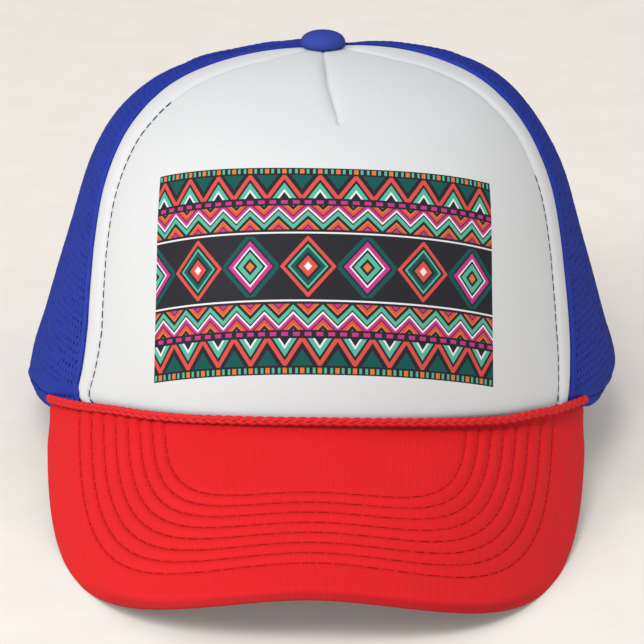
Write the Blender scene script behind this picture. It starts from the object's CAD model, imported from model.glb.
# %% [markdown]
# # A foam-front trucker cap
# The cap has a white cloth front on foam, net sides and back, a red peak with stitched rows, a plaited rope
# where the peak meets the crown, and a small button on top. It lies on a table, resting on the back of its
# rim and on the two low corners of its peak. The plain solids come first, as a frame, and each cell below
# dresses one of them.

# %% The frame
import math
import bmesh
import bpy
import numpy as np
from mathutils import Matrix, Vector


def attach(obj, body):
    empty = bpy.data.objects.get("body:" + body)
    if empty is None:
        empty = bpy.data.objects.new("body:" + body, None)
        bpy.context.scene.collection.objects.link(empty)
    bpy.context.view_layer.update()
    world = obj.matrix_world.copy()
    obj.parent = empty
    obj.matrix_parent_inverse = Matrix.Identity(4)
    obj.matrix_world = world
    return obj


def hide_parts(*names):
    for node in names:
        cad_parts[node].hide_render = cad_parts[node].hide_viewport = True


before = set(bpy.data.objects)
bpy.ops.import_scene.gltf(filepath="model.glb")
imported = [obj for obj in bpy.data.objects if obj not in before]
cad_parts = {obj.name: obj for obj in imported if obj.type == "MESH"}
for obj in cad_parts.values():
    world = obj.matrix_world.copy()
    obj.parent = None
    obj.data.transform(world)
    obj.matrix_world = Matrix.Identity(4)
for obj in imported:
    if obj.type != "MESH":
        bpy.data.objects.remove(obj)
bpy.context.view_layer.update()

print("frame nodes:", ", ".join(sorted(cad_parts)))

# %% [markdown]
# ## The crown as a surface
# A sewn crown is one smooth surface that several panels share, so it is written once, as a table of
# horizontal sections. Every panel, seam, stitch and trim then asks the same surface where it lies, and they
# all fit together. Sizes are in millimetres, in the cap's own frame, with the front along -Y.

# %% Sections of the crown
# height, half width, reach to the front, reach to the back
SECTIONS = np.array([
    (0, 83, 98, 96), (12, 90, 101, 102), (30, 85.5, 101, 101), (54, 78.5, 96.5, 95), (76, 71.5, 86, 84),
    (91.5, 61, 71, 69), (102, 46.5, 51, 50), (108.8, 24.5, 27, 27), (110.8, 0, 0, 0)], dtype=float)
TOP_ROW = 7.86
FRONT_SEAM = (53.0, 90.0)    # degrees from the middle of the front, at the rim and at the top
BACK_SEAM = (112.0, 135.0)
MIDDLE_BACK = (180.0, 180.0)
FRONT_RISE, RISE_END, RISE_POWER = 22.3, 105.0, 1.1      # the lower edge arches up over the peak
REST_TILT = math.radians(5.3)                            # how the cap leans on the table
REST_SHIFT = (0.0, 31.88, 6.385)


def bell(x, middle, width):
    """A smooth bump of height 1 round the middle."""
    return np.exp(-((x - middle) / width) ** 2)


def section(row):
    """Height, half width, front and back reach at any row of the table, on a smooth curve."""
    row = np.clip(np.asarray(row, float), 0, len(SECTIONS) - 1 - 1e-9)
    i = np.floor(row).astype(int)
    f = (row - i)[..., None]
    ends = np.vstack([2 * SECTIONS[0] - SECTIONS[1], SECTIONS, SECTIONS[-2] * (1, -1, -1, -1)])
    a, b, c, d = ends[i], ends[i + 1], ends[i + 2], ends[i + 3]
    return 0.5 * (2 * b + f * (c - a + f * (2 * a - 5 * b + 4 * c - d + f * (3 * b - a - 3 * c + d))))


ROW_TABLE = np.linspace(0, 8, 1601)
HEIGHT_TABLE = section(ROW_TABLE)[:, 0]


def row_at(height):
    return np.interp(height, HEIGHT_TABLE, ROW_TABLE)


def on_crown(row, angle):
    row, angle = np.broadcast_arrays(np.asarray(row, float), np.radians(np.asarray(angle, float)))
    s = section(row)
    reach = np.where(np.cos(angle) > 0, s[..., 2], s[..., 3])
    return np.stack([s[..., 1] * np.sin(angle), -reach * np.cos(angle), s[..., 0]], -1)


def crown_normal(row, angle):
    row, angle = np.asarray(row, float), np.asarray(angle, float)
    low, high = np.clip(row - 0.02, 0, 7.97), np.clip(row + 0.02, 0.02, 7.99)
    around = on_crown(row, angle + 0.05) - on_crown(row, angle - 0.05)
    n = np.cross(around, on_crown(high, angle) - on_crown(low, angle))
    return n / np.maximum(np.linalg.norm(n, axis=-1, keepdims=True), 1e-12)


# Where the soft net gives or fills out. Each row: amount, middle and width in degrees, middle and width in
# height. Heights in the first table count from the rim, and in the second from the crown's base.
GIVE_AT_RIM = [(-2.9, 81, 15, 0, 6), (0.8, 66, 8, 0, 3), (1.6, -90, 12, 2, 5), (-0.5, -80, 8, 0, 2),
               (1.9, -68, 10, 0, 3.5)]
GIVE = [(2.0, 113, 27, 99, 12), (0.9, -88, 25, 90, 12), (-1.6, -128, 36, 106, 5), (-2.5, 160, 32, 107, 5)]


def softness(row, angle):
    turn = (np.asarray(angle, float) + 180) % 360 - 180
    height = section(row)[..., 0]
    above = np.maximum(height - edge_height(turn), 0)
    push = 0.0
    for levels, table in ((above, GIVE_AT_RIM), (height, GIVE)):
        for amount, middle, spread, level, depth in table:
            away = (turn - middle + 180) % 360 - 180
            push = push + amount * bell(away, 0, spread) * bell(levels, level, depth)
    return push


def crown_point(row, angle, out=0.0):
    """A point of the crown, moved outwards by out millimetres."""
    push = np.asarray(out, float) + softness(row, angle)
    return on_crown(row, angle) + crown_normal(row, angle) * push[..., None]


def edge_height(angle):
    """Height of the crown's lower edge, which arches up over the peak."""
    a = np.minimum(np.abs(np.asarray(angle, float)), RISE_END)
    return FRONT_RISE * np.cos(np.radians(a * 90 / RISE_END)) ** RISE_POWER


def trim_drop(angle):
    """How far the trim and the rim sag below an even edge beside the ends of the peak."""
    a = np.abs(angle)
    right = -2.0 * np.clip((a - 48) / 13, 0, 1) * np.clip((84 - a) / 18, 0, 1)
    ends = np.where(angle < 0, 0.9 * bell(a, 53, 11), right)
    front = 0.6 * bell(a, 28, 9) + np.where(angle > 0, 0.7, 0.3) * bell(a, 36, 6)
    return ends + front - 0.4 * bell(angle, 0, 12)


def hem_drop(angle):
    """The hem hangs a little lower than the trim just behind each end of the rope."""
    return trim_drop(angle) + 2.7 * bell(np.abs(angle), 64.5, 8)


def resting(points):
    """From the cap's own frame in millimetres to where it lies on the table, in metres."""
    p = np.asarray(points, float)
    c, s = math.cos(REST_TILT), math.sin(REST_TILT)
    return np.stack([p[..., 0], c * p[..., 1] + s * p[..., 2] + REST_SHIFT[1],
                     c * p[..., 2] - s * p[..., 1] + REST_SHIFT[2]], -1) * 0.001


def resting_direction(v):
    p = resting(v) - resting(np.zeros(3))
    return p / np.linalg.norm(p, axis=-1, keepdims=True)


print("crown is", round(float(section(8)[0]), 1), "mm high")

# %% [markdown]
# ## Helpers for pieces
# Cloth starts as a flat grid, as it does on the cutting table, and each vertex is then laid on the surface.
# A grid operator makes the faces, so only the laying needs to be written. A piece's UV map holds its real
# size in metres along the cloth, so that weave and print keep their scale wherever the piece bends.

# %% Laying a flat grid on a surface
def cloth_grid(columns, rows):
    """A flat grid from 0 to 1 both ways."""
    bm = bmesh.new()
    bmesh.ops.create_grid(bm, x_segments=columns, y_segments=rows, size=0.5)
    bmesh.ops.translate(bm, verts=bm.verts, vec=(0.5, 0.5, 0))
    return bm


def move_verts(bm, places, cloth):
    """Moves vertices to places in metres, and keeps their spots on the flat cloth, in millimetres, as UVs."""
    for v, place in zip(bm.verts, places):
        v.co = place
    uv = bm.loops.layers.uv.verify()
    bm.verts.index_update()
    cloth = np.asarray(cloth) * 0.001
    for face in bm.faces:
        for loop in face.loops:
            loop[uv].uv = cloth[loop.vert.index]


def lay(bm, where):
    """Moves every vertex from its flat place to where(x, y)."""
    flat = np.array([v.co[:2] for v in bm.verts])
    points, cloth = where(flat[:, 0], flat[:, 1])
    places = resting(points)
    places[:, 2] = np.maximum(places[:, 2], 0)      # cloth that reaches the table lies flat on it
    move_verts(bm, places, cloth)
    return bm


def join(bm, part):
    """Adds one bmesh to another, which is much quicker than shaping hundreds of small parts in a big one."""
    holder = bpy.data.meshes.new("part")
    part.to_mesh(holder)
    part.free()
    bm.from_mesh(holder)
    bpy.data.meshes.remove(holder)


def new_object(name, data):
    thing = bpy.data.objects.new(name, data)
    bpy.context.scene.collection.objects.link(thing)
    return thing


def new_mesh(name, bm, material):
    mesh = bpy.data.meshes.new(name)
    bm.to_mesh(mesh)
    bm.free()
    mesh.materials.append(material)
    return mesh


def finish_piece(name, bm, material, node=None, thickness=0.0, smooth=True):
    """Makes an object of a bmesh, gives it its wall, its material and its place in the frame."""
    mesh = new_mesh(name, bm, material)
    mesh.polygons.foreach_set("use_smooth", [smooth] * len(mesh.polygons))
    piece = new_object(name, mesh)
    if thickness:
        wall = piece.modifiers.new("wall", "SOLIDIFY")
        wall.thickness = thickness * 0.001
        wall.offset = -1
    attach(piece, "root")
    if node:
        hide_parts(node)
    print(name, "has", len(mesh.polygons), "faces")
    return piece


# %% [markdown]
# ## Node groups for cloth
# Weave is the same idea on every cloth: two sets of threads that cross. One group gives its height and one
# gives uneven dye, and each material uses them with its own thread size.

# %% A short way to write shader nodes
class Nodes:
    def __init__(self, tree):
        self.tree = tree

    def add(self, kind, inputs=None, **settings):
        node = self.tree.nodes.new(kind)
        for key, value in settings.items():
            setattr(node, key, value)
        for key, value in (inputs or {}).items():
            if isinstance(value, bpy.types.NodeSocket):
                self.tree.links.new(value, node.inputs[key])
            else:
                node.inputs[key].default_value = value
        return node

    def math(self, operation, *values):
        return self.add("ShaderNodeMath", dict(enumerate(values)), operation=operation).outputs[0]

    def blend(self, factor, first, second, mode="MIX"):
        node = self.add("ShaderNodeMix", {0: factor, 6: first, 7: second}, data_type="RGBA", blend_type=mode)
        return node.outputs[2]

    def noise(self, place, scale, detail):
        settings = {"Vector": place, "Scale": scale, "Detail": detail}
        return self.add("ShaderNodeTexNoise", settings).outputs[0]

    def grey(self, value):
        return self.add("ShaderNodeCombineXYZ", {0: value, 1: value, 2: value}).outputs[0]

    def drawn_out(self, cloth, factor):
        """Cloth coordinates that make a pattern longer along the second axis."""
        inputs = {0: cloth, 1: (1.0, factor, 1.0)}
        return self.add("ShaderNodeVectorMath", inputs, operation="MULTIPLY").outputs[0]

    def steps(self, factor, stops):
        """Colours along a value, each from its own place on."""
        node = self.add("ShaderNodeValToRGB", {0: factor})
        ramp = node.color_ramp
        ramp.interpolation = "CONSTANT"
        while len(ramp.elements) < len(stops):
            ramp.elements.new(1.0)
        for element, (place, colour) in zip(ramp.elements, stops):
            element.position = place
            element.color = (*colour[:3], 1)
        return node.outputs[0]


def shader_group(name, inputs, outputs):
    tree = bpy.data.node_groups.new(name, "ShaderNodeTree")
    for title, kind, value in inputs:
        socket = tree.interface.new_socket(title, in_out="INPUT", socket_type=kind)
        if value is not None:
            socket.default_value = value
    for title, kind in outputs:
        tree.interface.new_socket(title, in_out="OUTPUT", socket_type=kind)
    nodes = Nodes(tree)
    return nodes, nodes.add("NodeGroupInput").outputs, nodes.add("NodeGroupOutput").inputs


# %% Weave and dye
FULL_TURN = 6283.2      # of a wave one millimetre long, because cloth coordinates are metres

n, given, wanted = shader_group(
    "cloth_weave", [("Cloth", "NodeSocketVector", None), ("Thread", "NodeSocketFloat", 0.5)],
    [("Height", "NodeSocketFloat"), ("Shade", "NodeSocketFloat")])
wobble = n.noise(given["Cloth"], 900.0, 2.0)
spot = n.add("ShaderNodeSeparateXYZ", {0: given["Cloth"]}).outputs
turns = n.math("DIVIDE", FULL_TURN, given["Thread"])
across = n.math("SINE", n.math("MULTIPLY", spot[0], turns))
along = n.math("SINE", n.math("MULTIPLY", spot[1], turns))
weave = n.math("MULTIPLY_ADD", n.math("MULTIPLY", across, along), 0.5, 0.5)
n.tree.links.new(n.math("MULTIPLY_ADD", wobble, 0.6, n.math("MULTIPLY", weave, 0.4)), wanted["Height"])
n.tree.links.new(n.math("MULTIPLY_ADD", wobble, 0.5, n.math("MULTIPLY", weave, 0.5)), wanted["Shade"])
WEAVE = n.tree

n, given, wanted = shader_group(
    "uneven_dye", [("Place", "NodeSocketVector", None), ("Colour", "NodeSocketColor", (1, 1, 1, 1)),
                   ("Depth", "NodeSocketFloat", 0.15)], [("Colour", "NodeSocketColor")])
cloud = n.noise(given["Place"], 55.0, 4.0)
light = n.math("MULTIPLY_ADD", n.math("SUBTRACT", cloud, 0.5), given["Depth"], 1.0)
n.tree.links.new(n.blend(1.0, given["Colour"], n.grey(light), "MULTIPLY"), wanted["Colour"])
DYE = n.tree
print("node groups:", WEAVE.name, "and", DYE.name)


# %% What every material shares
def new_material(name, roughness, specular):
    material = bpy.data.materials.new(name)
    material.use_nodes = True
    shader = material.node_tree.nodes["Principled BSDF"].inputs
    shader["Roughness"].default_value = roughness
    shader["Specular IOR Level"].default_value = specular
    return material, Nodes(material.node_tree), shader


def calm_bounce(n, colour, bounce):
    """Other surfaces see the cloth calmer than the camera does, so that it neither tints nor hazes them."""
    path = n.add("ShaderNodeLightPath").outputs
    if bounce:
        colour = n.blend(path["Is Diffuse Ray"], colour, (*bounce, 1))
    return n.blend(path["Is Glossy Ray"], colour, (0.02, 0.02, 0.02, 1))


def link_looks(n, shader, colour, bounce, height, bump, distance):
    n.tree.links.new(calm_bounce(n, colour, bounce), shader["Base Color"])
    relief = n.add("ShaderNodeBump", {"Strength": bump, "Distance": distance, "Height": height}).outputs[0]
    n.tree.links.new(relief, shader["Normal"])


# %% One cloth material, used with different colours
def cloth_material(name, colour, thread=0.5, roughness=0.5, bump=0.12, depth=0.12, specular=0.08,
                   colour_from=None, extra_height=None, bounce=None):
    material, n, shader = new_material(name, roughness, specular)
    cloth = n.add("ShaderNodeUVMap").outputs[0]
    weave = n.add("ShaderNodeGroup", {"Cloth": cloth, "Thread": thread}, node_tree=WEAVE).outputs
    place = n.add("ShaderNodeTexCoord").outputs["Object"]
    base = colour_from(n, cloth) if colour_from else (*colour, 1)
    dye = n.add("ShaderNodeGroup", {"Place": place, "Colour": base, "Depth": depth}, node_tree=DYE).outputs[0]
    threads = n.add("ShaderNodeMapRange", {0: weave["Shade"], 3: 0.92, 4: 1.04}).outputs[0]
    dyed = n.blend(1.0, dye, n.grey(threads), "MULTIPLY")
    height = weave["Height"]
    if extra_height:
        height = n.math("ADD", height, extra_height(n, cloth))
    link_looks(n, shader, dyed, bounce, height, bump, 0.0004)
    return material


WHITE, BLUE, NAVY = (0.72, 0.725, 0.73), (0.014, 0.038, 0.38), (0.010, 0.014, 0.10)
RED, DEEP_RED, DULL_RED = (0.80, 0.008, 0.012), (0.52, 0.004, 0.007), (0.28, 0.15, 0.14)
blue_cloth = cloth_material("blue_cloth", (0.040, 0.066, 0.35), thread=0.6, bump=0.3)


def hatch(n, cloth):
    """The ribs of knitted net that is folded or gathered until its holes close."""
    return n.math("MULTIPLY", n.noise(n.drawn_out(cloth, 0.22), 1100.0, 2.0), 3.0)


net_cloth = cloth_material("net_cloth", BLUE, thread=0.9, roughness=0.62, bump=0.5, depth=0.2,
                           specular=0.4, extra_height=hatch)
band_cloth = cloth_material("band_cloth", (0.75, 0.74, 0.70), thread=0.8)


# %% Yarn, thread and plastic
def plain_material(name, colour, roughness, grain, bump, specular=0.08, bounce=None):
    material, n, shader = new_material(name, roughness, specular)
    place = n.add("ShaderNodeTexCoord").outputs["Object"]
    inputs = {"Place": place, "Colour": (*colour, 1), "Depth": 0.12}
    dye = n.add("ShaderNodeGroup", inputs, node_tree=DYE).outputs[0]
    link_looks(n, shader, dye, bounce, n.noise(place, grain, 3.0), bump, 0.0003)
    return material


net_yarn = plain_material("net_yarn", BLUE, 0.62, 1500.0, 0.8, 0.4)
rope_yarn = plain_material("rope_yarn", RED, 0.6, 2600.0, 0.3, 0.5, DULL_RED)
navy_thread = plain_material("navy_thread", NAVY, 0.6, 3000.0, 0.2)
red_thread = plain_material("red_thread", (0.5, 0.008, 0.012), 0.6, 3000.0, 0.2)
strap_plastic = plain_material("strap_plastic", (0.03, 0.045, 0.28), 0.35, 600.0, 0.03, 0.5)
print("materials so far:", ", ".join(sorted(m.name for m in bpy.data.materials)))

# %% [markdown]
# ## The print
# The front is printed with bands of diamonds, zigzags and triangles. An image would blur close up, so the
# print is drawn by arithmetic on the cloth's own coordinates: a folded distance gives zigzags and diamonds,
# and a ramp with hard steps turns distance into stripes.

# %% Bands of stripes, zigzags and diamonds
CHARCOAL, MINT, TEAL = (0.030, 0.028, 0.034), (0.10, 0.46, 0.33), (0.012, 0.10, 0.09)
PINK, CORAL, ORANGE, SNOW = (0.52, 0.045, 0.24), (0.68, 0.085, 0.07), (0.72, 0.20, 0.045), (0.80, 0.80, 0.80)
MOTIF = 17.0         # width of a diamond, and the smaller motifs are shares of it
PRINT_HALF = (54.5, 31.0)
PRINT_MIDDLE = 68.6  # up the cloth from the rim plane
PRINT_BEND = 0.003   # the print's ends hang lower, because the cloth is cut in a curve
PRINT_FOOT = PRINT_MIDDLE - PRINT_HALF[1]


def on_print(u, v):
    """Where a place of the cloth lies on the flat print, which was stretched a little as it was sewn."""
    rise = np.clip((v - PRINT_FOOT) / (2 * PRINT_HALF[1]), -0.5, 1.5)
    across = u * (1.018 - 0.037 * rise) + 0.3 * (2 * rise - 1)
    return np.stack([across, v + u * u * (PRINT_BEND + 0.00074 * rise) + 0.011 * u * rise], -1)


def folded(n, value, period):
    """A zigzag from 0 to 1 and back over one period."""
    return n.math("PINGPONG", n.math("DIVIDE", value, period / 2), 1.0)


def print_colour(n, cloth):
    place = n.add("ShaderNodeSeparateXYZ", {0: cloth}).outputs
    x = n.math("MULTIPLY", place[0], 1000.0)
    y = n.math("SUBTRACT", n.math("MULTIPLY", place[1], 1000.0), PRINT_MIDDLE)
    v = n.math("ABSOLUTE", y)
    shifted = n.math("ADD", x, 200.0)      # keeps the distance above zero
    odd = n.math("MODULO", n.math("FLOOR", n.math("DIVIDE", shifted, MOTIF)), 2.0)

    # The middle row: nested diamonds in two colourways that take turns.
    fold = folded(n, n.math("ADD", shifted, MOTIF / 2), MOTIF)
    reach = n.math("ADD", n.math("MULTIPLY", fold, 9.5), v)
    part = n.math("DIVIDE", reach, 10.5)
    first = n.steps(part, [(0, ORANGE), (0.14, CHARCOAL), (0.24, MINT), (0.42, CHARCOAL), (0.5, SNOW),
                           (0.56, PINK), (0.72, CHARCOAL), (0.80, TEAL), (0.97, CHARCOAL)])
    second = n.steps(part, [(0, SNOW), (0.12, CORAL), (0.30, CHARCOAL), (0.40, TEAL), (0.54, MINT),
                            (0.62, CHARCOAL), (0.72, CORAL), (0.86, CHARCOAL)])
    colour = n.blend(odd, first, second)

    # Beyond it, bands that mirror each other above and below.
    zig = n.math("MULTIPLY_ADD", folded(n, shifted, MOTIF / 2), 4.2, v)
    stripes = n.steps(n.math("FRACT", n.math("DIVIDE", zig, 7.0)),
                      [(0, CHARCOAL), (0.16, MINT), (0.36, CHARCOAL), (0.44, SNOW), (0.54, PINK),
                       (0.70, CHARCOAL), (0.76, CORAL), (0.92, ORANGE)])
    peak = n.math("SUBTRACT", n.math("MULTIPLY", n.math("SUBTRACT", 28.2, v), 1.0 / 7.6),
                  n.math("SUBTRACT", 1.0, folded(n, shifted, MOTIF * 0.6)))
    teeth = n.steps(n.math("MULTIPLY_ADD", peak, 0.5, 0.5),
                    [(0, TEAL), (0.30, CHARCOAL), (0.44, CORAL), (0.58, CHARCOAL), (0.66, MINT), (0.80, SNOW),
                     (0.86, CHARCOAL)])
    dots = n.steps(folded(n, shifted, MOTIF * 0.2), [(0, CHARCOAL), (0.42, PINK)])
    checks = n.steps(folded(n, shifted, MOTIF * 0.3),
                     [(0, ORANGE), (0.25, CHARCOAL), (0.5, MINT), (0.8, CHARCOAL)])
    for start, paint in ((8.8, CHARCOAL), (9.6, SNOW), (10.1, CHARCOAL), (10.8, stripes), (18.2, CHARCOAL),
                         (18.8, dots), (19.9, CHARCOAL), (20.6, teeth), (28.4, CHARCOAL), (29.0, checks),
                         (30.6, CHARCOAL)):
        chosen = paint if isinstance(paint, bpy.types.NodeSocket) else (*paint, 1)
        colour = n.blend(n.math("GREATER_THAN", v, start), colour, chosen)

    inside = n.math("MULTIPLY", n.math("LESS_THAN", n.math("ABSOLUTE", x), PRINT_HALF[0]),
                    n.math("LESS_THAN", v, PRINT_HALF[1]))
    return n.blend(inside, (*WHITE, 1), colour)


print_cloth = cloth_material("printed_white_cloth", WHITE, thread=0.55, bump=0.08, depth=0.04,
                             colour_from=print_colour)
print("print is", 2 * PRINT_HALF[0], "by", 2 * PRINT_HALF[1], "mm")

# %% [markdown]
# ## Where the panels meet
# The crown has five panels. Each seam starts at one angle on the rim and ends at another at the top, so a
# panel is the surface between two seams. Distances along the surface are needed as well, because foam, net
# and stitches keep their real size while the panel narrows towards the button.

# %% Seams and distances on the crown
SEAM_GAP = 0.3
# How far the sewn front seams wander from an even run, in degrees at rows of the table: left, then right.
SEAM_BOW = np.array([
    (0, 0, 0), (1.2, -1.0, 0.0), (1.36, 0.2, 0.8), (1.5, 0.5, 1.0), (1.8, -0.7, 1.6), (2.07, -1.5, 1.95),
    (2.36, -2.0, 2.15), (3.2, -0.85, 2.7), (3.8, -1.2, 2.2), (4.5, -1.95, 1.9), (5.27, -2.2, 2.9),
    (5.62, -1.9, 3.4), (6.0, -0.2, 5.9), (6.5, 2.8, 10.0), (7.1, 5.6, 15.5), (7.86, 12.0, 19.0)])


def on_side(seam, sign):
    """The seam itself for 1, and its mirror image for -1."""
    return sign * seam[0], sign * seam[1]


def seam_foot(seam):
    """The row where a seam leaves the rim."""
    return row_at(edge_height(seam[0]) + SEAM_GAP)


def seam_angle(seam, row):
    foot = seam_foot(seam)
    even = seam[0] + (seam[1] - seam[0]) * (row - foot) / (TOP_ROW - foot)
    if abs(seam[0]) != FRONT_SEAM[0]:
        return even
    left = seam[0] < 0
    bow = np.interp(row, SEAM_BOW[:, 0], SEAM_BOW[:, 1 if left else 2])
    return even - bow if left else even + bow


def panel_spot(first, last, across, up):
    """Row and angle of a place on the panel between two seams."""
    rim_angle = first[0] + (last[0] - first[0]) * across
    row = row_at(edge_height(rim_angle) + SEAM_GAP)
    row = row + (TOP_ROW - row) * up
    low, high = seam_angle(first, row), seam_angle(last, row)
    return row, low + (high - low) * across


def mm_per_degree(row, angle):
    a = np.radians(angle)
    s = section(row)
    reach = np.where(np.cos(a) > 0, s[..., 2], s[..., 3])
    return np.maximum(np.hypot(s[..., 1] * np.cos(a), reach * np.sin(a)) * math.pi / 180, 0.02)


def arc_between(row, start, end, samples=24):
    """Length along the horizontal section from one angle to another."""
    share = (np.arange(samples) + 0.5) / samples
    row, start, end = np.broadcast_arrays(np.asarray(row, float), start, end)
    angles = start[..., None] + (end - start)[..., None] * share
    return (mm_per_degree(row[..., None] + 0 * angles, angles)).mean(-1) * (end - start)


def profile_length(angle):
    """Length up the crown from the rim plane to each row of ROW_TABLE, at one angle."""
    line = on_crown(ROW_TABLE, angle)
    return np.concatenate([[0], np.cumsum(np.linalg.norm(np.diff(line, axis=0), axis=1))])


FRONT_PROFILE = profile_length(0.0)
print("front is", round(float(FRONT_PROFILE[-1])), "mm from the rim plane to the top, along the cloth")

# %% [markdown]
# ## The front panel
# Real: one wide piece of smooth cloth bonded to 3 mm foam. The foam puffs up beside its seams, and a line
# of stitches inside the seam holds it down: 6 mm from it low down, and farther in towards the top, where the
# puff spreads. A pinch at the top gathers the fullness under the button.
# It could be a plain shell with a bump map, but the puffed seam changes the outline, so it is in the mesh:
# columns lie close together near the seams and the pinch, and wider apart where the cloth is plain.

# %% Relief of the foam
# distances of the columns from the seam, in millimetres where the puff is at its narrowest
SEAM_COLUMNS = np.array([0, 0.25, 0.5, 0.8, 1.2, 1.8, 2.5, 3.2, 3.9, 4.6, 5.1, 5.4, 5.7, 5.95, 6.2, 6.5,
                         6.9, 7.5, 8.4, 9.6])
SEAM_STEPS, MIDDLE_COLUMNS, FRONT_ROWS = len(SEAM_COLUMNS) - 1, 112, 150
FRONT_COLUMNS = 2 * SEAM_STEPS + MIDDLE_COLUMNS
STITCH_INSET = 5.8
# how many times wider the puff is: share of the way up, factor
PAD_WIDTH = np.array([(0, 1.0), (0.06, 1.1), (0.165, 1.4), (0.42, 1.55), (0.55, 1.65), (0.78, 2.3), (1, 2.3)])
# the pinch: length up the front, and how far right of the middle it lies
PINCH_LINE = np.array([(117.5, 3.9), (120, 3.85), (124.6, 3.2), (131.8, 1.9), (142.2, 0.4), (155.3, -0.5),
                       (172, -1.2)])
PINCH_END = PINCH_LINE[0, 0]


def foam_relief(from_seam, d, row):
    """How far the foam stands out near its seam; d grows to STITCH_INSET at the line of stitches."""
    calm = 1 - 0.55 * np.clip((row - 5.2) / 1.4, 0, 1)
    puff = 0.75 * np.sin(math.pi * np.minimum(d / STITCH_INSET, 1)) ** 0.8
    pull = 0.25 * np.exp(-np.maximum(d - STITCH_INSET, 0) / 1.6)
    groove = 0.75 * bell(d, STITCH_INSET, 0.5)
    return calm * (puff - pull - groove) - 1.6 * np.exp(-from_seam / 0.5)


def pinch_relief(side, up_front):
    """The fold of the pinch: a soft slope on its left, and a sharp step on its right."""
    line = np.interp(up_front, PINCH_LINE[:, 0], PINCH_LINE[:, 1])
    share = np.clip((up_front - PINCH_END) / 9.0, 0, 1)
    depth = 1.7 * share ** 0.7 * (1 - 0.6 * np.clip((up_front - 158) / 12, 0, 1))
    e = side - line
    left = -depth * np.exp(np.minimum(e, 0) / 1.5)
    right = -depth * (0.5 * np.exp(-np.maximum(e, 0) / 0.35) + 0.5 * np.exp(-np.maximum(e, 0) / 2.4))
    crease = -0.3 * share * bell(e, 0, 0.4)
    dimple = -0.6 * bell(e, 0, 0.7) * bell(up_front, PINCH_END + 2.2, 1.2)
    return np.where(e < 0, left, right) + crease + dimple


def front_place(x, y):
    first, last = (-FRONT_SEAM[0], -FRONT_SEAM[1]), FRONT_SEAM
    ups = np.linspace(0, 1, 120)
    row, angle = panel_spot(first, last, np.linspace(0, 1, 61)[None, :], ups[:, None])
    widths = np.linalg.norm(np.diff(on_crown(row, angle), axis=1), axis=2).sum(1)
    width = np.interp(y, ups, widths)
    wider = np.interp(y, PAD_WIDTH[:, 0], PAD_WIDTH[:, 1])    # the padded edge spreads towards the top
    squeeze = np.minimum(wider, width / (3.4 * SEAM_COLUMNS[-1]))
    k = x * FRONT_COLUMNS
    from_left = np.interp(k, range(SEAM_STEPS + 1), SEAM_COLUMNS) * squeeze
    from_right = np.interp(FRONT_COLUMNS - k, range(SEAM_STEPS + 1), SEAM_COLUMNS) * squeeze
    m = 2 * (k - SEAM_STEPS) / MIDDLE_COLUMNS - 1
    edge = SEAM_COLUMNS[-1] * squeeze
    between = edge + (width - 2 * edge) * (0.5 + 0.5 * (0.35 * m + 0.65 * m ** 3))
    distance = np.where(k >= FRONT_COLUMNS - SEAM_STEPS, width - from_right, between)
    distance = np.where(k <= SEAM_STEPS, from_left, distance)
    row, angle = panel_spot(first, last, distance / width, y)
    u = arc_between(row, 0.0, angle)
    v = np.interp(row, ROW_TABLE, FRONT_PROFILE)
    near = np.minimum(distance, width - distance)
    out = foam_relief(near, near / squeeze, row) * np.minimum(1, squeeze)
    out += pinch_relief(on_crown(row, angle)[:, 0], v) * np.minimum(1, width / 30)
    out -= 1.4 * np.exp(-y * 140 / 0.9)        # the lower edge turns in under the rope
    return crown_point(row, angle, out), on_print(u, v)


foam = plain_material("foam", (0.78, 0.77, 0.74), 0.9, 1400.0, 0.5, 0.15)
front = finish_piece("front_cloth", lay(cloth_grid(FRONT_COLUMNS, FRONT_ROWS), front_place), print_cloth,
                     "front_panel", thickness=3.0)
front.data.materials.append(foam)      # the back of the cloth and its cut edge show the foam
front.modifiers["wall"].material_offset = 1
front.modifiers["wall"].material_offset_rim = 1

# %% [markdown]
# ## The net
# Real: a knitted net of soft six-sided holes. It could be a see-through picture of holes, but that looks
# flat from the side and is lost as a mesh. One hexagon is inset and opened here, doubled again and again
# into a flat sheet, and the sheet is laid on the crown by arc length, so the holes keep their size. What
# falls outside the panel is cut away, and the seams cover the cut.

# %% A flat sheet of net
CELL_WIDTH, CELL_TALL = 2.3, 1.5       # of one hexagon: across its flats, and from its middle to its tip
STRAND = 0.76                          # half the width of a strand
DOUBLINGS_ACROSS, DOUBLINGS_UP = 6, 5
RIM_COVER = 3.0                        # the net ends this far above the rim, behind the hem
ARCH = (43.0, 48.0)                    # half width and height of the arch over the strap


def flat_net():
    bm = bmesh.new()
    bmesh.ops.create_circle(bm, cap_ends=True, segments=6, radius=1.0)
    bmesh.ops.scale(bm, verts=bm.verts, vec=(CELL_WIDTH / math.sqrt(3), CELL_TALL, 1))
    hole = bmesh.ops.inset_individual(bm, faces=bm.faces, thickness=STRAND, depth=0.0)
    middle = [f for f in bm.faces if f not in set(hole["faces"])]
    bmesh.ops.delete(bm, geom=middle, context="FACES_ONLY")
    row = 1.5 * CELL_TALL
    shifts = [(CELL_WIDTH * 2 ** i, 0, 0) for i in range(DOUBLINGS_ACROSS)]
    shifts += [(CELL_WIDTH / 2, row, 0)] + [(0, 2 * row * 2 ** i, 0) for i in range(DOUBLINGS_UP)]
    for shift in shifts:
        copy = bmesh.ops.duplicate(bm, geom=bm.verts[:] + bm.edges[:] + bm.faces[:])["geom"]
        bmesh.ops.translate(bm, verts=[v for v in copy if isinstance(v, bmesh.types.BMVert)], vec=shift)
    bmesh.ops.remove_doubles(bm, verts=bm.verts, dist=0.01)
    return bm


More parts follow.
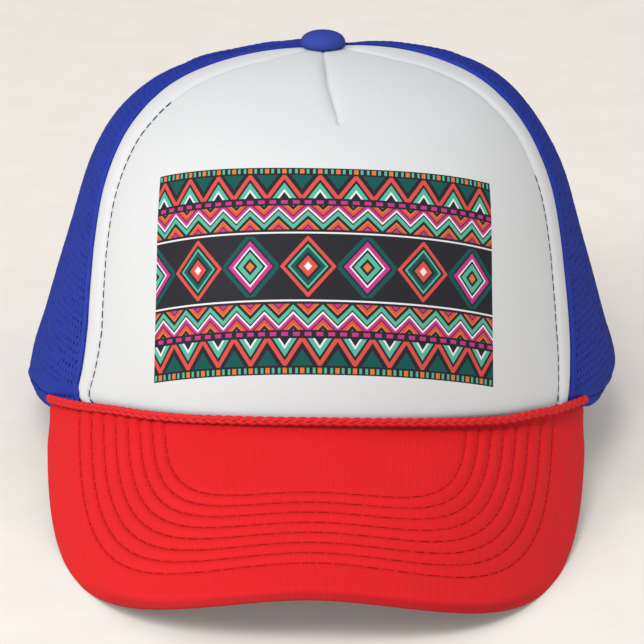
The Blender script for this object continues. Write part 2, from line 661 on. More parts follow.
def on_panel(first, last):
    """Maps a flat sheet, in millimetres, to rows and angles of the panel between two seams."""
    middle = (first[0] + last[0]) / 2
    profile = profile_length(middle)
    rows = np.linspace(0, TOP_ROW, 260)
    angles = np.linspace(middle - 75, middle + 75, 301)
    arcs = arc_between(rows[:, None], middle, angles[None, :])

    def spots(u, v):
        row = np.interp(v, profile, ROW_TABLE)
        place = np.clip(row / TOP_ROW * (len(rows) - 1), 0, len(rows) - 1.001)
        low = place.astype(int)
        mixed = arcs[low] + (arcs[low + 1] - arcs[low]) * (place - low)[:, None]
        angle = np.array([np.interp(a, line, angles, left=-999, right=999) for a, line in zip(u, mixed)])
        return row, angle
    return spots


def arch_distance(points):
    """Below zero inside the arch over the strap, in the cap's own millimetres."""
    inside = np.hypot(points[:, 0] / ARCH[0], np.maximum(points[:, 2], 0) / ARCH[1])
    return np.where(points[:, 1] > 0, (inside - 1) * ARCH[0], 99)


def net_panel(name, first, last, node):
    bm = flat_net()
    spots = on_panel(first, last)
    flat = np.array([v.co[:2] for v in bm.verts]) - (CELL_WIDTH * 2 ** (DOUBLINGS_ACROSS - 1), 0)
    flat += 0.20 * np.stack([np.sin(flat[:, 1] * 1.9 + 2 * np.sin(flat[:, 0] * 0.31)),
                             np.sin(flat[:, 0] * 1.7 + 2 * np.sin(flat[:, 1] * 0.23))], -1)
    row, angle = spots(flat[:, 0], flat[:, 1])
    scale = mm_per_degree(row, angle)
    inside = np.minimum(angle - seam_angle(first, row), seam_angle(last, row) - angle) * scale - 0.7
    inside = np.minimum(inside, section(row)[:, 0] - edge_height(angle) - RIM_COVER)
    inside = np.minimum(inside, (TOP_ROW - 0.02 - row) * 30)
    knit = 0.10 * np.sin(flat[:, 0] * 3.1 + 5 * np.sin(flat[:, 1] * 0.7)) * np.sin(flat[:, 1] * 2.3)
    points = crown_point(row, np.clip(angle, -400, 400), -0.15 + knit)
    inside = np.minimum(inside, arch_distance(points) - 1.2)
    move_verts(bm, resting(points), flat)
    lost = [f for f in bm.faces if min(inside[v.index] for v in f.verts) < 0]
    bmesh.ops.delete(bm, geom=lost, context="FACES")
    return finish_piece(name, bm, net_yarn, node, thickness=0.65)


# The pieces are named as they lie in the picture, and the solids by the wearer's left and right.
full_back = (360 - BACK_SEAM[0], 360 - BACK_SEAM[1])
net_panel("side_net_left", on_side(BACK_SEAM, -1), on_side(FRONT_SEAM, -1), "side_panel_right")
net_panel("side_net_right", FRONT_SEAM, BACK_SEAM, "side_panel_left")
net_panel("back_net_right", BACK_SEAM, MIDDLE_BACK, "back_panel_left")
net_panel("back_net_left", MIDDLE_BACK, full_back, "back_panel_right")

# %% [markdown]
# ## Seams, hems and tapes of the net
# Real: where net meets a seam it is folded under, so a narrow band has no holes, and along the rim it is
# gathered into a hem. Strips laid on the crown beside each seam show that fold, and they also hide where
# the sheet of net was cut.

# %% Strips beside the seams
def narrowing(scale, radius):
    """Strips get narrower where the crown's turn, at scale millimetres a degree, is tighter than a radius."""
    return np.minimum(1, scale * 57 / radius)


def seam_strip(name, seam, side, width, sink, low=None, puff=0.35):
    foot = seam_foot(seam) if low is None else low

    def place(x, y):
        row = foot + (TOP_ROW - 0.03 - foot) * y
        base = seam_angle(seam, row)
        scale = mm_per_degree(row, base)
        room = narrowing(scale, 26)
        d = (x * width + 0.12) * room
        shift = d if side > 0 else width * room + 0.24 * room - d
        angle = base + side * shift / scale
        lift = 0.25 + puff * np.sin(math.pi * np.clip(shift / (width * room), 0, 1))
        lift = lift - sink * np.exp(-shift / 0.45)
        ripple = 0.07 * np.sin(row * 31.0 + side) * np.sin(row * 17.3)
        v = np.interp(row, ROW_TABLE, FRONT_PROFILE)
        return crown_point(row, angle, lift + ripple), np.stack([shift, v], -1)
    return finish_piece(name, lay(cloth_grid(10, 130), place), net_cloth, None, 0.5)


TAPE_WIDTH, TAPE_INSET = 9.0, 1.5


def inner_tape(name, seam, low=None):
    foot = seam_foot(seam) if low is None else low

    def place(x, y):
        row = foot + (TOP_ROW - 0.4 - foot) * y
        base = seam_angle(seam, row)
        scale = mm_per_degree(row, base)
        d = (x - 0.5) * TAPE_WIDTH * narrowing(scale, 30)
        v = np.interp(row, ROW_TABLE, FRONT_PROFILE)
        return crown_point(row, base + d / scale, -TAPE_INSET), np.stack([d, v], -1)
    return finish_piece(name, lay(cloth_grid(6, 90), place), blue_cloth, None, 0.5)


arch_top_row = float(row_at(ARCH[1] + 1.5))
for tag, sign in (("left", -1), ("right", 1)):
    front_seam, back_seam = on_side(FRONT_SEAM, sign), on_side(BACK_SEAM, sign)
    fold_foot = float(row_at(edge_height(FRONT_SEAM[0]) + SEAM_GAP + 0.5 - min(trim_drop(front_seam[0]), 0)))
    seam_strip(f"front_seam_fold_{tag}", front_seam, sign, 2.3, 1.2, low=fold_foot, puff=0.3)
    seam_strip(f"back_seam_front_fold_{tag}", back_seam, -sign, 2.6, 1.0)
    seam_strip(f"back_seam_rear_fold_{tag}", back_seam, sign, 2.6, 1.0)
    inner_tape(f"back_seam_tape_{tag}", back_seam)
    seam_strip(f"middle_seam_fold_{tag}", MIDDLE_BACK, sign, 2.4, 1.0, low=arch_top_row)
inner_tape("middle_seam_tape", MIDDLE_BACK, low=arch_top_row)

# %% Net gathered flat under the button
GATHER_ROW = 6.4      # from here up the net is gathered


def gathered_place(x, y):
    row = GATHER_ROW + (TOP_ROW - GATHER_ROW) * y
    start, end = seam_angle(FRONT_SEAM, row), 360 + seam_angle(on_side(FRONT_SEAM, -1), row)
    angle = start + (end - start) * x
    pleat = 0.12 * np.sin(np.radians(angle) * 36) * y
    u = np.radians(angle) * (1 - y) * 30
    return crown_point(row, angle, 0.2 + pleat - 0.9 * (1 - y) ** 3), np.stack([u, 40 * y], -1)


# %% The gathered hem along the rim
HEM_HEIGHT, HEM_STITCHES = 6.0, 3.0


def hem(name, start, end):
    def place(x, y):
        angle = start + (end - start) * x
        up = HEM_HEIGHT * y
        sag = hem_drop(angle) * (1 - y)
        row = row_at(np.maximum(edge_height(angle) + 0.25 + up - sag, 0.1))
        lift = 0.15 + 0.4 * np.sin(math.pi * np.clip(y, 0, 1)) ** 0.7 - 0.7 * np.exp(-(up / 0.8))
        lift = lift - 0.4 * bell(up, HEM_STITCHES, 0.5) - 0.6 * (1 - y) ** 2 - 0.5 * y ** 5
        gathers = 0.12 * np.sin(angle * 2.9) * np.sin(angle * 4.7 + 1.3) * np.sin(math.pi * y)
        return crown_point(row, angle, lift + gathers), np.stack([angle * 1.57, up], -1)
    steps = max(20, int(abs(end - start) * 2))
    return finish_piece(name, lay(cloth_grid(steps, 14), place), net_cloth, None, 0.9)


ARCH_END = 180 - math.degrees(math.asin((ARCH[0] + 1.0) / 84.5))
finish_piece("gathered_top", lay(cloth_grid(140, 20), gathered_place), net_cloth, None, 0.5)
hem("hem_right", FRONT_SEAM[0] + 0.25, ARCH_END)
hem("hem_left", -ARCH_END, -FRONT_SEAM[0] - 0.25)

# %% [markdown]
# ## The peak
# Real: a curved board between two cloths, with eight rows of stitches, each a U inside the one before. The
# rows pull the cloth down, so the cloth between them is softly ridged. One closed section runs over the top,
# round the rolled edge and back underneath. A flat sheet with a wall would be simpler, and have sharp edges.

# %% Shape of the peak
PEAK_HALF, PEAK_REACH, PEAK_CENTRE, PEAK_POWER, PEAK_END = 79.3, 166.0, 26.0, 2.65, 84.8
PEAK_ROOT, PEAK_THICK, PEAK_TUCK, PEAK_BULGE = 59.5, 3.2, 3.0, 0.9
STITCH_ROWS, ROW_PITCH, STITCH_DEPTH = 8, 3.85, 0.42
PEAK_SHIFT = -1.9        # the peak is sewn on a little to one side
RIM_HALF, RIM_FRONT = SECTIONS[1, 1], SECTIONS[1, 2]


def u_shape(turn, half, reach, centre, power):
    """Places along a rounded U, from one end at -90 degrees to the other at 90."""
    x = half * np.sign(turn) * np.abs(np.sin(turn)) ** (2 / power)
    return x, centre + (reach - centre) * np.abs(np.cos(turn)) ** (2 / power)


def peak_top(x, forward):
    """Height of the upper cloth. It slopes forwards, most at its sides, and its root sags with the trim."""
    angle = np.arcsin(np.clip(np.abs(x) / RIM_HALF, 0, 1))
    beyond = forward - RIM_FRONT * np.cos(angle)
    slope = 0.415 + 0.235 * (x / 80.0) ** 2
    sag = trim_drop(np.degrees(angle) * np.sign(x)) * np.exp(-np.maximum(beyond, 0) / 9.0)
    return edge_height(np.degrees(angle)) - slope * beyond - sag


def row_shape(k):
    """Half width, reach, centre and power of the k-th stitched row: each is a U inside the one before."""
    return 69.8 - 3.77 * k, 154.9 - 3.93 * k, 34.0 + 6.0 * k, 3.05 + 0.05 * k


def row_at_plan(x, forward):
    """Which stitched row passes through a place of the plan, such as 2.5 between the third and the fourth."""
    low, high = np.full(np.shape(x), -4.0), np.full(np.shape(x), 11.0)
    for _ in range(22):
        k = (low + high) / 2
        half, reach, centre, power = row_shape(k)
        ahead = np.maximum(forward - centre, 0) / (reach - centre)
        inside = (np.abs(x) / half) ** power + ahead ** power < 1
        low, high = np.where(inside, k, low), np.where(inside, high, k)
    return (low + high) / 2


def row_relief(x, forward):
    """Ridges between the stitched rows, and the groove along each."""
    phase = row_at_plan(x, forward)
    nearest = np.clip(np.round(phase), 0, STITCH_ROWS - 1)
    away = np.abs(phase - nearest) * ROW_PITCH
    ridge = 0.32 * (1 - np.cos(2 * math.pi * np.clip(phase, 0, STITCH_ROWS - 1))) / 2
    return ridge - STITCH_DEPTH * bell(away, 0, 0.36) - 0.22 * bell(away, 0, 1.1)


TOP_ROWS, EDGE_STEPS, UNDER_ROWS, PEAK_COLUMNS = 112, 10, 40, 330
peak_rows = TOP_ROWS + EDGE_STEPS + UNDER_ROWS + 4


def peak_place(x, y):
    side = 2 * x - 1
    root_angle = PEAK_ROOT * side
    root = on_crown(row_at(edge_height(root_angle)), root_angle)
    root_x, root_f, root_z = root[:, 0], -root[:, 1], root[:, 2]
    edge_x, edge_f = u_shape(np.radians(PEAK_END * side), PEAK_HALF, PEAK_REACH, PEAK_CENTRE, PEAK_POWER)
    length = np.hypot(edge_x - root_x, edge_f - root_f)
    roll = np.minimum(PEAK_THICK / 2, 0.3 * length)
    k = np.rint(y * peak_rows)
    top = k - 2
    edge = top - TOP_ROWS
    under = edge - EDGE_STEPS
    share = np.where(edge <= 0, top / TOP_ROWS, 1 - under / UNDER_ROWS)
    share = np.clip(share, 0, 1)
    out = share * (1 - roll / length)
    px, pf = root_x + (edge_x - root_x) * out, root_f + (edge_f - root_f) * out
    turn = math.pi / 2 * (1 - 2 * np.clip(edge / EDGE_STEPS, 0, 1))
    on_edge = (edge > 0) & (under < 0)
    away = np.stack([edge_x, edge_f - PEAK_CENTRE], -1)
    away = away / np.linalg.norm(away, axis=1, keepdims=True)
    bulge = -roll * (1 - np.cos(turn)) + PEAK_BULGE * np.cos(turn) * roll / (PEAK_THICK / 2)
    px = np.where(on_edge, edge_x + away[:, 0] * bulge, px)
    pf = np.where(on_edge, edge_f + away[:, 1] * bulge, pf)
    relief = row_relief(px, pf) * np.clip((length - 4) / 6, 0, 1)
    z = peak_top(px, pf)
    lower = PEAK_THICK / 2 * (1 - np.sin(turn))
    z = np.where(on_edge, z - lower, np.where(under >= 0, z - PEAK_THICK - 0.4 * relief, z + relief))
    tucked = (k < 2) | (k > peak_rows - 2)
    inward = 1 - PEAK_TUCK / np.hypot(root_x, root_f)
    depth = np.where(k < 2, PEAK_THICK / 2 * (1 - k), np.where(k > peak_rows - 1, PEAK_THICK / 2, PEAK_THICK))
    px = np.where(tucked, root_x * inward, px)
    pf = np.where(tucked, root_f * inward, pf)
    z = np.where(tucked, root_z - trim_drop(root_angle) - 0.9 - depth, z)
    return np.stack([px + PEAK_SHIFT, -pf, z], -1), np.stack([px, pf], -1)


RIB_WIDTH = 0.00075      # metres


def peak_colour(n, cloth):
    """The cloth is stretched over the board's edge, where its dye looks deeper."""
    rolled = n.add("ShaderNodeAttribute", attribute_name="rolled_edge").outputs["Fac"]
    return n.blend(rolled, (*RED, 1), (*DEEP_RED, 1))


def peak_ribs(n, cloth):
    """Fine ribs of the twill, and pull marks across them."""
    streak = n.noise(n.drawn_out(cloth, 0.3), 900.0, 2.0)
    across = n.add("ShaderNodeSeparateXYZ", {0: cloth}).outputs[0]
    ribs = n.math("SINE", n.math("MULTIPLY", across, 2 * math.pi / RIB_WIDTH))
    return n.math("MULTIPLY_ADD", streak, 1.6, n.math("MULTIPLY", ribs, 0.28))


peak_cloth = cloth_material("peak_cloth", RED, thread=0.62, roughness=0.62, bump=0.4, depth=0.10,
                            specular=0.35, colour_from=peak_colour, extra_height=peak_ribs, bounce=DULL_RED)
bm = cloth_grid(PEAK_COLUMNS, peak_rows)
rolled_edge = bm.verts.layers.float.new("rolled_edge")
for v in bm.verts:
    step = v.co.y * peak_rows - 2 - TOP_ROWS
    fades = ((0.62 - abs(2 * v.co.x - 1)) / 0.2, (step - 1.5) / 1.2, (EDGE_STEPS + 4 - step) / 4)
    v[rolled_edge] = math.prod(min(max(fade, 0), 1) for fade in fades)
lay(bm, peak_place)
bmesh.ops.remove_doubles(bm, verts=bm.verts, dist=1e-6)
bmesh.ops.holes_fill(bm, edges=[e for e in bm.edges if e.is_boundary], sides=0)
bmesh.ops.recalc_face_normals(bm, faces=bm.faces)
finish_piece("peak_shell", bm, peak_cloth, "peak")

# %% [markdown]
# ## The rope
# Real: a flat plait of three soft strands, sewn into the corner between crown and peak. A round tube with a
# striped bump would have a straight edge, and the plait's edge is scalloped, so the three strands are real.
# Each one swings from side to side and over and under the others, a third of a turn apart.

# %% Three plaited strands
ROPE_ENDS, ROPE_LIFT, ROPE_OUT = (-62.0, 59.3), 1.35, 1.9
PLAIT_LENGTH, PLAIT_SWING, PLAIT_DEPTH, STRAND_RADIUS = 9.3, 0.64, 0.20, 0.76
rope_angles = np.linspace(*ROPE_ENDS, 1500)
rope_rows = row_at(edge_height(rope_angles) + ROPE_LIFT - trim_drop(rope_angles))
rope_line = crown_point(rope_rows, rope_angles, ROPE_OUT)
rope_arc = np.concatenate([[0], np.cumsum(np.linalg.norm(np.diff(rope_line, axis=0), axis=1))])
rope_out = crown_normal(rope_rows, rope_angles)
rope_along = np.gradient(rope_line, axis=0)
rope_along /= np.linalg.norm(rope_along, axis=1, keepdims=True)
rope_up = np.cross(rope_along, rope_out)
rope_up *= np.sign(rope_up[:, 2:3])
ROPE_STEPS = int(rope_arc[-1] / PLAIT_LENGTH * 20)


def strand_place(phase):
    def place(x, y):
        s = x * rope_arc[-1]
        centre, along, out, up = [np.stack([np.interp(s, rope_arc, a[:, i]) for i in range(3)], -1)
                                  for a in (rope_line, rope_along, rope_out, rope_up)]
        t = 2 * math.pi * (s / PLAIT_LENGTH + phase)
        end = np.clip(np.minimum(s, rope_arc[-1] - s) / 2.0, 0, 1)
        swing, dip = PLAIT_SWING * np.sin(t) * end, PLAIT_DEPTH * np.sin(2 * t) * end
        turn = 2 * math.pi * y
        radius = STRAND_RADIUS * np.sqrt(np.clip(end * 1.6, 0.0, 1))
        ring_up, ring_out = radius * np.cos(turn), radius * 0.92 * np.sin(turn)
        point = centre + up * (swing + ring_up)[:, None] + out * (dip + ring_out - 0.1)[:, None]
        return point, np.stack([s, y * 4.6], -1)
    return place


rope_parts = bmesh.new()
for third in range(3):
    one = lay(cloth_grid(ROPE_STEPS, 10), strand_place(third / 3))
    bmesh.ops.remove_doubles(one, verts=one.verts, dist=1e-6)
    bmesh.ops.recalc_face_normals(one, faces=one.faces)
    join(rope_parts, one)
finish_piece("plaited_rope", rope_parts, rope_yarn, "rope")

# %% [markdown]
# ## The button
# Real: a metal cap covered with the blue cloth, pressed on where all the panels meet. Its profile is spun
# round the crown's axis, which is how the cap was pressed, and the rim tucks in under it.

# %% A spun, cloth-covered button
BUTTON_RADIUS, BUTTON_HEIGHT = 6.8, 5.2
BUTTON_SHIFT, BUTTON_SINK = -1.4, 0.1      # pressed on a little to one side, as the peak is
button_base = float(section(TOP_ROW)[0]) - BUTTON_SINK
bm = bmesh.new()
profile = [(0.0, BUTTON_HEIGHT)]
profile += [(BUTTON_RADIUS * math.sin(a) ** 0.92, 1.5 + (BUTTON_HEIGHT - 1.5) * math.cos(a) ** 0.9)
            for a in np.linspace(0.12, math.pi / 2 - 0.02, 12)]
profile += [(BUTTON_RADIUS, 1.2), (BUTTON_RADIUS - 0.25, 0.55), (BUTTON_RADIUS - 0.9, 0.12),
            (BUTTON_RADIUS - 2.0, 0.0), (0.0, 0.0)]
verts = [bm.verts.new((r, 0, z + button_base)) for r, z in profile]
for a, b in zip(verts, verts[1:]):
    bm.edges.new((a, b))
bmesh.ops.spin(bm, geom=bm.verts[:] + bm.edges[:], cent=(0, 0, 0), axis=(0, 0, 1), angle=2 * math.pi,
               steps=48, use_merge=True)
bmesh.ops.remove_doubles(bm, verts=bm.verts, dist=0.001)
bmesh.ops.recalc_face_normals(bm, faces=bm.faces)
spun = np.array([v.co[:] for v in bm.verts])
move_verts(bm, resting(spun + (BUTTON_SHIFT, 0, 0)), spun[:, :2])
finish_piece("cloth_button", bm, blue_cloth, "top_button")

# %% [markdown]
# ## Inside and behind
# Real: a soft band runs round the inside of the rim, tape binds the arch at the back, and a snap strap
# closes it. None of it shows in a front view, but a cap is picked up and turned over, so all of it is made.

# %% The sweatband
BAND_END, BAND_HEIGHT, BAND_DEPTH = 147.0, 28.0, 4.4      # depth: how far inside the crown it lies


def band_place(x, y):
    angle = BAND_END * (2 * x - 1)
    behind_peak = np.clip((64 - np.abs(angle)) / 6, 0, 1)
    foot = edge_height(angle) + 0.8 - PEAK_THICK * behind_peak
    height = BAND_HEIGHT * y
    roll = 0.7 * np.exp(-height / 0.8) + 0.5 * np.exp(-(BAND_HEIGHT - height) / 0.6)
    dent = 0.35 * bell(height, 3.0, 0.5)
    depth = BAND_DEPTH + roll * 0.3 + dent
    return crown_point(row_at(foot + height), angle, -depth), np.stack([angle * 1.5, height], -1)


bm = lay(cloth_grid(280, 34), band_place)
finish_piece("sweatband_cloth", bm, band_cloth, "sweatband", 1.3)


# %% Tape round the arch
def tape_place(x, y):
    """Across the tape, y runs over its outer face, round the fold and back over its inner face."""
    turn = math.pi * x
    outer, fold = y < 0.42, (y >= 0.42) & (y <= 0.58)
    half = (y - 0.42) / 0.16 * math.pi
    grow = np.where(fold, -0.7 * np.sin(half), 7.0 * (y - 0.58) / 0.42)
    grow = np.where(outer, 7.2 * (1 - y / 0.42), grow) + 0.3
    out = np.where(outer, 0.95, np.where(fold, -0.35 + 1.3 * np.cos(half), -1.65))
    out = out + np.where(outer, 0.25 * np.sin(math.pi * np.clip(y / 0.42, 0, 1)), 0)
    px = (ARCH[0] + grow) * np.cos(turn)
    height = np.maximum((ARCH[1] + grow) * np.sin(turn) + 1, 0.2)
    row = row_at(height)
    angle = np.degrees(np.arcsin(np.clip(px / section(row)[:, 1], -1, 1)))
    return crown_point(row, 180 - angle, out), np.stack([140 * x, grow], -1)


bm = lay(cloth_grid(130, 34), tape_place)
bmesh.ops.reverse_faces(bm, faces=bm.faces)
finish_piece("arch_binding", bm, blue_cloth, "arch_tape", 0.45)

# %% The two halves of the snap strap
STRAP_FOOT, STRAP_HEIGHT, STRAP_WALL, STRAP_FREE = 2.5, 18.0, 0.9, 33.0
PEG_PITCH, HOLE_RADIUS, PEG_COUNT = 9.5, 2.75, 6
HOLED_DEPTH, PEGGED_DEPTH = -1.35, -2.4        # how far inside the crown's surface each half lies
strap_scale = float(mm_per_degree(row_at(STRAP_FOOT + STRAP_HEIGHT / 2), 180.0))


def strap_spot(length, height, out):
    angle = 180 + np.asarray(length, float) / strap_scale
    return crown_point(row_at(STRAP_FOOT + np.asarray(height, float)), angle, out)


def holed_tile(bm, centre):
    """A square of strap with a round hole: a circle bridged to a square of as many corners."""
    inner = bmesh.ops.create_circle(bm, segments=24, radius=HOLE_RADIUS)["verts"]
    outer = bmesh.ops.create_circle(bm, segments=24, radius=1.0)["verts"]
    for v in outer:
        x, y = v.co.x, v.co.y
        grow = 1 / max(abs(x), abs(y))
        v.co = (x * grow * PEG_PITCH / 2, y * grow * PEG_PITCH / 2, 0)
    both = set(inner + outer)
    bmesh.ops.bridge_loops(bm, edges=[e for e in bm.edges if both.issuperset(e.verts)])
    bmesh.ops.translate(bm, verts=inner + outer, vec=(centre, 0, 0))


def holed_half(start, end, holes):
    """Flat first: tiles with holes in a row, and plain strips above, below and at the ends."""
    bm = bmesh.new()
    for centre in holes:
        holed_tile(bm, centre)
    first, last = min(holes) - PEG_PITCH / 2, max(holes) + PEG_PITCH / 2
    half = PEG_PITCH / 2
    for x0, x1, y0, y1, columns, rows in (
            (first, last, half, STRAP_HEIGHT / 2, 6 * len(holes), 4),
            (first, last, -STRAP_HEIGHT / 2, -half, 6 * len(holes), 4),
            (start, first, -STRAP_HEIGHT / 2, STRAP_HEIGHT / 2, 8, 12),
            (last, end, -STRAP_HEIGHT / 2, STRAP_HEIGHT / 2, 8, 12)):
        made = bmesh.ops.create_grid(bm, x_segments=columns, y_segments=rows, size=0.5)["verts"]
        bmesh.ops.scale(bm, verts=made, vec=(x1 - x0, y1 - y0, 1))
        bmesh.ops.translate(bm, verts=made, vec=((x0 + x1) / 2, (y0 + y1) / 2, 0))
    bmesh.ops.remove_doubles(bm, verts=bm.verts, dist=0.01)
    bmesh.ops.recalc_face_normals(bm, faces=bm.faces)
    round_from = end - STRAP_HEIGHT / 2
    for v in bm.verts:       # the free end is rounded
        if v.co.x > round_from:
            room = math.sqrt(max(0.0, 1 - ((v.co.x - round_from) / (STRAP_HEIGHT / 2)) ** 2))
            v.co.y *= 0.35 + 0.65 * room
    flat = np.array([v.co[:] for v in bm.verts])
    spots = strap_spot(flat[:, 0], flat[:, 1] + STRAP_HEIGHT / 2, HOLED_DEPTH)
    move_verts(bm, resting(spots), flat[:, :2])
    bmesh.ops.recalc_face_normals(bm, faces=bm.faces)
    if sum(f.normal.y for f in bm.faces) < 0:
        bmesh.ops.reverse_faces(bm, faces=bm.faces)
    return bm


def pegged_place(x, y):
    spots = strap_spot(-STRAP_FREE + (STRAP_FREE + strap_reach) * x, STRAP_HEIGHT * y, PEGGED_DEPTH)
    return spots, np.stack([x * 90, y * STRAP_HEIGHT], -1)


pegs = [(i - (PEG_COUNT - 1) / 2) * PEG_PITCH for i in range(PEG_COUNT)]
strap_reach = 38 * strap_scale
bm = holed_half(-strap_reach, STRAP_FREE, pegs)
outer_half = finish_piece("strap_with_holes", bm, strap_plastic, None, STRAP_WALL)
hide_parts("snap_strap")
bm = lay(cloth_grid(60, 12), pegged_place)
finish_piece("strap_with_pegs", bm, strap_plastic, None, STRAP_WALL)
bm = bmesh.new()
middle_row = row_at(STRAP_FOOT + STRAP_HEIGHT / 2)
for length in pegs:
    at = strap_spot(length, STRAP_HEIGHT / 2, PEGGED_DEPTH)
    outward = resting_direction(crown_normal(middle_row, 180 + length / strap_scale))
    face_out = Vector(outward).to_track_quat("Z", "Y").to_matrix().to_4x4()
    for radius, low, high in ((0.0019, -0.0002, 0.0018), (0.0025, 0.0014, 0.0027)):
        middle = Matrix.Translation(Vector(resting(at)) + Vector(outward) * (low + high) / 2)
        bmesh.ops.create_cone(bm, cap_ends=True, segments=20, radius1=radius, radius2=radius * 0.9,
                              depth=high - low, matrix=middle @ face_out)
finish_piece("strap_pegs", bm, strap_plastic, None, smooth=False)

# %% [markdown]
# ## Stitches
# Real: navy thread along the front panel, the hems and the seams, and red thread on the peak. Each visible
# stitch is a thin pointed bead pressed into the cloth, and on the peak a small dent marks each needle hole.

# %% A run of stitches along a line
def stitch_run(bm, line, outward, length, pitch, width, lift=0.0, start=0.5, mark=0.0):
    """Beads along a line; sizes in millimetres, and mark is the width of the needle hole, if there is one."""
    points, normals = resting(line), resting_direction(outward)
    arc = np.concatenate([[0], np.cumsum(np.linalg.norm(np.diff(points, axis=0), axis=1))]) * 1000
    made = 0
    beads = bmesh.new()
    for s in np.arange(start * pitch, arc[-1] - length / 2, pitch):
        spots = [Vector([np.interp(q, arc, points[:, i]) for i in range(3)])
                 for q in (s - length / 2, s, s + length / 2)]
        along = (spots[2] - spots[0]).normalized()
        out = Vector([np.interp(s, arc, normals[:, i]) for i in range(3)])
        across = along.cross(out).normalized()
        out = across.cross(along)
        axes = Matrix((across, out, along)).transposed()
        shapes = [(spots[1] + out * lift * 0.001, width, length)]
        if mark:
            shapes.append((spots[2], mark, width))
        for middle, wide, long in shapes:
            size = Matrix.Diagonal((wide * 0.0005, width * 0.0004, long * 0.0005))
            place = Matrix.Translation(middle) @ (axes @ size).to_4x4()
            bmesh.ops.create_uvsphere(beads, u_segments=6, v_segments=4, radius=1.0, matrix=place)
        made += 1
    join(bm, beads)
    return made


def beside_seam(seam, shift, low):
    """A line up the crown beside a seam, and which way is out along it."""
    rows = np.linspace(low, 6.9, 400)
    base = seam_angle(seam, rows)
    angle = base + shift / mm_per_degree(rows, base)
    return crown_point(rows, angle, 0.42), crown_normal(rows, angle)


# %% Front, hems and seams
front_thread = bmesh.new()
made = 0
for sign, top_height in ((-1, 99.0), (1, 80.0)):
    seam = on_side(FRONT_SEAM, sign)
    top_row = float(row_at(top_height))
    foot = float(seam_foot(seam))
    up = np.linspace(0.006, (top_row - foot) / (TOP_ROW - foot), 500)
    inset = STITCH_INSET + 2.4 * np.exp(-(up - up[0]) / 0.016)       # the line leaves the seam near the rim
    column = np.interp(inset, SEAM_COLUMNS, range(SEAM_STEPS + 1)) / FRONT_COLUMNS
    line, _ = front_place(column if sign < 0 else 1 - column, up)
    rows = foot + (TOP_ROW - foot) * up
    outward = crown_normal(rows, seam_angle(seam, rows) - sign * 4)
    made += stitch_run(front_thread, line, outward, 2.65, 3.0, 0.46, lift=0.32)
print(made, "navy stitches")
finish_piece("front_stitches", front_thread, navy_thread, None)

net_thread = bmesh.new()
for sign in (-1, 1):
    angles = np.linspace(FRONT_SEAM[0] + 1, ARCH_END - 1, 500) * sign
    rows = row_at(edge_height(angles) + HEM_STITCHES + 0.25 - hem_drop(angles) * 0.5)
    back_seam, foot = on_side(BACK_SEAM, sign), float(row_at(1.5))
    for line, outward in (beside_seam(back_seam, -1.7, foot), beside_seam(back_seam, 1.7, foot),
                          (crown_point(rows, angles, 0.02), crown_normal(rows, angles)),
                          beside_seam(MIDDLE_BACK, sign * 1.5, arch_top_row + 0.1)):
        stitch_run(net_thread, line, outward, 2.2, 2.9, 0.5)
finish_piece("net_stitches", net_thread, navy_thread, None)

# %% Rows on the peak
peak_thread = bmesh.new()
made = 0
for k in range(STITCH_ROWS):
    x, forward = u_shape(np.radians(np.linspace(-90, 90, 1500)), *row_shape(k))
    keep = np.hypot(x / RIM_HALF, forward / RIM_FRONT) > 1.012       # a row ends at the rope
    x, forward = x[keep], forward[keep]
    line = np.stack([x + PEAK_SHIFT, -forward, peak_top(x, forward) - STITCH_DEPTH], -1)
    outward = np.zeros(line.shape) + (0, -0.35, 0.94)
    made += stitch_run(peak_thread, line, outward, 3.4, 4.4, 0.27, start=0.5 + 0.13 * k, mark=1.0)
print(made, "stitches on the peak")
finish_piece("peak_stitches", peak_thread, red_thread, None)

# %% [markdown]
# ## Floor, light and camera
# The cap lies on a pale sheet in soft light. The key light stands at the front left, so the right side falls
# gently into shade. A second one high in front lights the peak, a weak fill keeps the shaded net blue, and
# the sheet itself glows a little, as on a light table. The long lens looks down by 22 degrees.

# %% Floor
bm = bmesh.new()
bmesh.ops.create_grid(bm, x_segments=1, y_segments=1, size=8.0)
paper = plain_material("paper", (0.815, 0.760, 0.690), 0.9, 60.0, 0.02, 0.1)
glow = paper.node_tree.nodes["Principled BSDF"].inputs      # a light table, which keeps the shadow pale
glow["Emission Color"].default_value, glow["Emission Strength"].default_value = (1.0, 0.935, 0.87, 1), 0.12
floor = new_object("floor", new_mesh("floor", bm, paper))
print("floor is", round(floor.dimensions.x), "m wide")


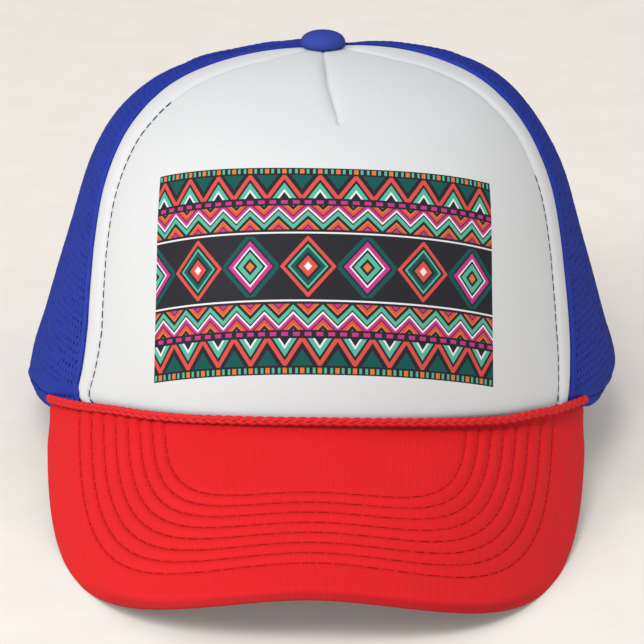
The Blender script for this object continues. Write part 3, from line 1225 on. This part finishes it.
# %% Lights
def soft_light(name, place, size, watts):
    data = bpy.data.lights.new(name, "AREA")
    data.shape, data.size, data.energy = "DISK", size, watts
    lamp = new_object(name, data)
    lamp.location = place
    lamp.rotation_euler = (Vector((0, 0, 0.05)) - Vector(place)).to_track_quat("-Z", "Y").to_euler()
    return lamp


soft_light("key", (-1.8, -1.25, 1.35), 0.9, 17.5)
for lamp in (soft_light("top", (-0.4, -1.2, 1.85), 1.1, 20), soft_light("fill", (0.6, -1.9, 0.6), 1.4, 1.5)):
    lamp.visible_glossy = False      # only the key light gives the cloth its sheen
world = bpy.data.worlds.new("room")
world.use_nodes = True
room = world.node_tree.nodes["Background"].inputs
room["Color"].default_value = (0.97, 0.985, 1.0, 1)
room["Strength"].default_value = 0.57
world.cycles_visibility.glossy = False
bpy.context.scene.world = world
print("lights:", ", ".join(sorted(light.name for light in bpy.data.lights)))
bpy.context.scene.view_settings.view_transform = "Standard"      # keeps the colours as strong as the dye

# %% Camera
VIEW_DOWN, VIEW_YAW, VIEW_ROLL = math.radians(22.1), math.radians(-0.23), math.radians(0.61)
VIEW_DISTANCE, FOCAL_PIXELS, FRAME_PIXELS = 1.3, 4197.7, 644
AIM_PIXEL = (323.7, 398.0)      # where the crown's base centre lies in the picture
aim = Vector(resting(np.zeros(3)))
ahead = Vector((math.sin(VIEW_YAW) * math.cos(VIEW_DOWN), math.cos(VIEW_YAW) * math.cos(VIEW_DOWN),
                -math.sin(VIEW_DOWN)))
level = ahead.cross(Vector((0, 0, 1))).normalized()
rise = level.cross(ahead)
right = level * math.cos(VIEW_ROLL) + rise * math.sin(VIEW_ROLL)
upward = rise * math.cos(VIEW_ROLL) - level * math.sin(VIEW_ROLL)
lens = bpy.data.cameras.new("camera")
lens.sensor_width = 36.0
lens.lens = FOCAL_PIXELS / FRAME_PIXELS * lens.sensor_width
lens.shift_x = (FRAME_PIXELS / 2 - AIM_PIXEL[0]) / FRAME_PIXELS
lens.shift_y = (AIM_PIXEL[1] - FRAME_PIXELS / 2) / FRAME_PIXELS
camera = new_object("camera", lens)
camera.matrix_world = (Matrix.Translation(aim - ahead * VIEW_DISTANCE)
                       @ Matrix((right, upward, -ahead)).transposed().to_4x4())
bpy.context.scene.camera = camera
print("lens is", round(lens.lens, 1), "mm")
